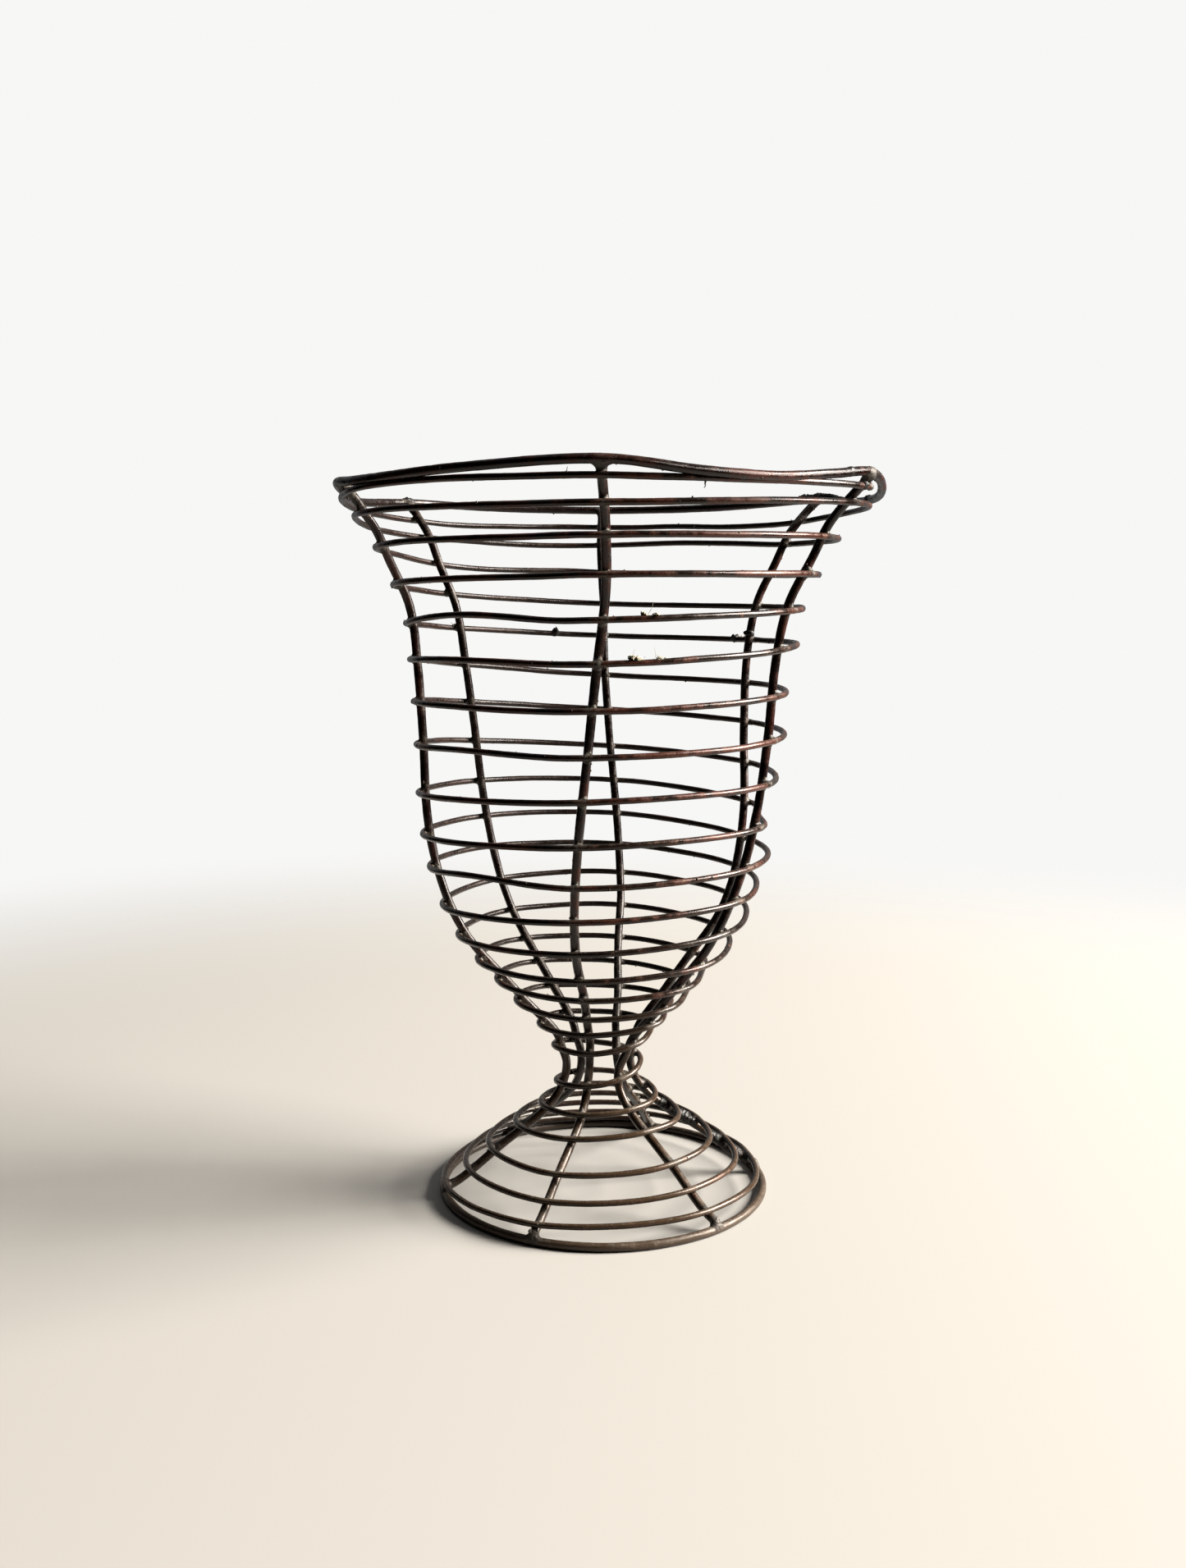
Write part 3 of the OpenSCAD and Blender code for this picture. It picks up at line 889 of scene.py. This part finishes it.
crustLook = {"sides": 16, "gap": 0.35, "blunt": 0.6, "lumpScale": 0.9}
tarFinish = solderFinish("blackTar", {
    "dark": colour(0.010, 0.008, 0.007),
    "rust": colour(0.022, 0.012, 0.010),
    "bare": colour(0.030, 0.026, 0.023),
    "dust": colour(0.045, 0.04, 0.035),
    "rustShare": 0.3,
    "bareShare": 0.2,
    "bloom": 0.08,
    "metal": 0.0,
    "gloss": 0.3,
})
dirtyTurn = joints[0][4][0]      # the crossing where the most dirt has gathered
tarSpots = [                     # (wire path, its radius, a point on it, length, thickness, side it is on)
    (closedRim, shape["heavyR"], onRim(29), 26, 0.7, (0, 0, 1)),
    (closedRim, shape["heavyR"], onRim(34), 12, 0.6, (0, 0, 1)),
    (closedRim, shape["heavyR"], onRim(10), 5, 0.45, (-1, -0.4, 0)),
    (closedRim, shape["heavyR"], onRim(144), 7, 0.55, (0, 0, 1)),
    (closedRim, shape["heavyR"], onRim(326), 3.0, 0.16, (0, 0, 1)),
    (ribPaths[0], shape["heavyR"], ribPaths[0][12], 16, 0.9, (0.4, -0.6, 1)),
    (ribPaths[0], shape["heavyR"], ribPaths[0][32], 18, 1.1, (0.4, -0.6, 1)),
    (ribPaths[0], shape["heavyR"], ribPaths[0][3], 6, 1.0, (0.4, -0.6, 1)),
    (spiralPath, shape["spiralR"], onSpiral(dirtyTurn - 0.008), 5.0, 1.5, (-0.2, -0.4, 1)),
    (spiralPath, shape["spiralR"], onSpiral(dirtyTurn - 0.026), 4.0, 1.1, (0, -0.3, 1)),
    (ribPaths[0], shape["heavyR"], joints[0][4][1] + np.array([0, 0, 2.6]), 3.4, 0.6, (-1, -0.5, 0.3)),
    (spiralPath, shape["spiralR"], onSpiral(4.458), 3.4, 1.1, (0, -0.2, 1)),
    (spiralPath, shape["spiralR"], onSpiral(-0.17), 3.0, 0.6, (1, 0, 0.4)),
]
joined("tarLumps", [
    crust(stretch(path, near, length), radius, {**crustLook, "thick": thick, "toward": toward}, 7.0 * k + 1)
    for k, (path, radius, near, length, thick, toward) in enumerate(tarSpots)
], tarFinish)

scrapFinish = solderFinish("dryScrap", {
    "dark": colour(0.16, 0.12, 0.08),
    "rust": colour(0.28, 0.15, 0.10),
    "bare": colour(0.62, 0.58, 0.42),
    "dust": colour(0.72, 0.68, 0.54),
    "rustShare": 0.35,
    "bareShare": 0.75,
    "bloom": 0.8,
    "metal": 0.0,
    "gloss": 0.2,
})
smallNet, smallFaces = sphereNet(3)


def crumb(centre, size, seed, rugged=0.6):
    # a torn, uneven grain; size gives its half-lengths along x, y and z
    turned = Vector((noise.noise((seed, 0, 0)), noise.noise((0, seed, 0)), 1)).to_track_quat("Z", "Y")
    grain = []
    for p in smallNet:
        out = 1 + rugged * noise.fractal(Vector(p) * 1.6 + Vector((seed, seed, 0)), 0.7, 2.2, 4)
        grain.append(turned @ Vector(p * size * max(out, 0.3)))
    return centre + np.array(grain), smallFaces


fibreSpec = {"rings": 14, "sides": 6, "curl": 0.55, "taper": 0.75}


def fibre(start, way, length, radius, seed):
    # a thin torn strand that curls away from the wire
    sides = fibreSpec["sides"]
    along = np.linspace(0, 1, fibreSpec["rings"])[:, None]
    curl = np.array([noise.noise_vector(Vector((a * 1.7, seed, 3.0))) for a in along[:, 0]])
    path = start + unit(np.array(way, float)) * along * length + curl * length * fibreSpec["curl"] * along
    way = heading(path, False)
    across = unit(np.cross(way, [[0.3, 0.2, 1.0]]))
    other = np.cross(way, across)
    angle = 2 * math.pi * np.arange(sides) / sides
    width = radius * (1 - fibreSpec["taper"] * along)
    rings = path[:, None] + width[:, None] * (
        np.cos(angle)[None, :, None] * across[:, None] + np.sin(angle)[None, :, None] * other[:, None])
    return rings.reshape(-1, 3), sleeveFaces(fibreSpec["rings"], sides)


scrapSpots = [                   # (turn, grains, spread along the wire, grain size, strands)
    (4.975, 10, 1.6, 1.1, 5),
    (4.955, 6, 2.0, 0.5, 4),
    (3.968, 8, 3.0, 0.65, 3),
    (dirtyTurn - 0.017, 3, 1.2, 0.42, 1),
    (4.352, 5, 1.6, 0.6, 2),
]
scraps = []
luck = random.Random(7)
for turn, grains, spread, size, strands in scrapSpots:
    centre = onSpiral(turn)
    for k in range(grains):
        at = centre + np.array([
            luck.uniform(-spread, spread), luck.uniform(-0.5, 0.4), 0.95 + luck.uniform(0, size),
        ])
        half = size * np.array([luck.uniform(0.6, 1.5), luck.uniform(0.35, 0.7), luck.uniform(0.4, 0.9)])
        scraps.append(crumb(at, half, luck.uniform(0, 90)))
    for k in range(strands):
        at = centre + np.array([luck.uniform(-spread, spread), -0.3, 0.9])
        scraps.append(fibre(at, (luck.uniform(-1, 1), luck.uniform(-0.4, 0.1), luck.uniform(-0.2, 1)),
                            luck.uniform(1.6, 3.4), luck.uniform(0.09, 0.16), luck.uniform(0, 90)))
joined("dryScraps", scraps, scrapFinish)

rustFinish = solderFinish("rustCrumb", {
    "dark": colour(0.022, 0.015, 0.012),
    "rust": colour(0.075, 0.030, 0.018),
    "bare": colour(0.15, 0.12, 0.095),
    "dust": colour(0.24, 0.21, 0.17),
    "rustShare": 0.6,
    "bareShare": 0.4,
    "bloom": 0.4,
    "metal": 0.1,
    "gloss": 0.3,
})
crumbLook = {"onSpiral": 170, "onRibs": 22, "onRim": 26, "least": 0.12, "most": 0.32, "long": 1.7}
crumbs = []
luck = random.Random(23)


def scatter(path, radius, count):
    for _ in range(count):
        i = luck.randrange(1, len(path) - 1)
        way = unit(path[i + 1] - path[i - 1])
        turned = luck.uniform(0, 2 * math.pi)
        across = unit(np.cross(way, [0.31, 0.2, 0.93]))
        out = math.cos(turned) * across + math.sin(turned) * np.cross(way, across)
        size = luck.uniform(crumbLook["least"], crumbLook["most"])
        half = size * np.array([1, 1, luck.uniform(1, crumbLook["long"])])
        crumbs.append(crumb(path[i] + out * radius * 0.97, half, luck.uniform(0, 90)))


scatter(spiralPath, shape["spiralR"], crumbLook["onSpiral"])
scatter(rimPath, shape["heavyR"], crumbLook["onRim"])
for ribPath in ribPaths:
    scatter(ribPath, shape["heavyR"], crumbLook["onRibs"])
# two small spurs on the first turn
crumbs.append(fibre(onSpiral(-0.051) + np.array([0, 0, -0.6]), (-0.12, 0, -1), 2.3, 0.4, 12.0))
crumbs.append(fibre(onSpiral(0.02) + np.array([0, 0, 0.6]), (0.5, 0, 1), 1.6, 0.25, 15.0))
joined("rustCrumbs", crumbs, rustFinish)
print("lumps and scraps scattered")

# cut ends of three ribs on the base ring, left rough by the nippers
burrFinish = solderFinish("cutSteel", {
    "dark": colour(0.06, 0.05, 0.042),
    "rust": colour(0.10, 0.055, 0.035),
    "bare": colour(0.42, 0.39, 0.35),
    "dust": colour(0.40, 0.37, 0.32),
    "rustShare": 0.3,
    "bareShare": 0.6,
    "bloom": 0.3,
    "metal": 0.7,
    "gloss": 0.5,
})
burrLook = {"each": 3, "rugged": 0.8}
burrs = []
for rib, side in ((5, 1.0), (4, -1.0), (3, -1.0)):
    foot = ribPaths[rib][0]
    outward = unit(np.array([foot[0] - shape["ringX"], foot[1], 0]))
    for _ in range(burrLook["each"]):
        at = foot + outward * luck.uniform(0.2, 1.0)
        at = at + np.array([side * luck.uniform(0.2, 1.1), 0, luck.uniform(0.5, 1.3)])
        half = np.array([luck.uniform(0.4, 0.9), luck.uniform(0.3, 0.5), luck.uniform(0.3, 0.7)])
        burrs.append(crumb(at, half, luck.uniform(0, 90), burrLook["rugged"]))
joined("footBurrs", burrs, burrFinish)
print("burrs left")

floorLook = {"size": 4.0, "colour": colour(0.40, 0.385, 0.36), "rough": 0.6, "fadeFrom": 0.3, "fadeTo": 0.8}
floorMesh = bpy.data.meshes.new("floor")
half = floorLook["size"] / 2
floorCorners = [(-half, -half, 0), (half, -half, 0), (half, half, 0), (-half, half, 0)]
floorMesh.from_pydata(floorCorners, [], [(0, 1, 2, 3)])
floor = bpy.data.objects.new("floor", floorMesh)
scene.collection.objects.link(floor)
floorFinish = bpy.data.materials.new("paleFloor")
floorFinish.use_nodes = True
floorTree = floorFinish.node_tree
floorShader = floorTree.nodes["Principled BSDF"]
floorShader.inputs["Base Color"].default_value = floorLook["colour"]
floorShader.inputs["Roughness"].default_value = floorLook["rough"]
away = put(floorTree, "ShaderNodeVectorMath", {0: put(floorTree, "ShaderNodeTexCoord").outputs["Object"]},
           operation="LENGTH").outputs["Value"]
gone = step(floorTree, away, floorLook["fadeFrom"], floorLook["fadeTo"])
faded = put(floorTree, "ShaderNodeMixShader", {0: gone, 1: floorShader.outputs["BSDF"],
                                              2: put(floorTree, "ShaderNodeBsdfTransparent").outputs[0]})
floorTree.links.new(faded.outputs[0], floorTree.nodes["Material Output"].inputs["Surface"])
floorMesh.materials.append(floorFinish)
floor.visible_diffuse = False        # a dark bench would send this little light back up


def softLight(name, place, aim, size, power, tint):
    light = bpy.data.lights.new(name, "AREA")
    light.shape = "RECTANGLE"
    light.size, light.size_y = size
    light.energy = power
    light.color = tint
    lamp = bpy.data.objects.new(name, light)
    lamp.location = place
    lamp.rotation_euler = (Vector(aim) - Vector(place)).to_track_quat("-Z", "Y").to_euler()
    lamp.visible_camera = False
    scene.collection.objects.link(lamp)
    return lamp


middle = (0, 0, 0.12)
softLight("keyRight", (2.8, 0.1, 1.6), middle, (1.5, 1.9), 500, (1.0, 0.95, 0.88))
softLight("glowBehind", (0.0, 1.8, 0.6), middle, (3.6, 2.2), 7, (1.0, 1.0, 1.0))
softLight("ceiling", (0.0, 0.2, 1.9), middle, (2.0, 2.0), 4, (1.0, 1.0, 1.0))

world = bpy.data.worlds.new("studio")
scene.world = world
world.use_nodes = True
sky = world.node_tree
background = sky.nodes["Background"]
background.inputs["Color"].default_value = (0.93, 0.93, 0.92, 1)
rays = put(sky, "ShaderNodeLightPath")
strength = put(sky, "ShaderNodeMapRange", {
    "Value": rays.outputs["Is Camera Ray"],
    "To Min": 0.004,             # the wall looks bright but lights very little
    "To Max": 1.0,
})
sky.links.new(strength.outputs["Result"], background.inputs["Strength"])
print("stage set")
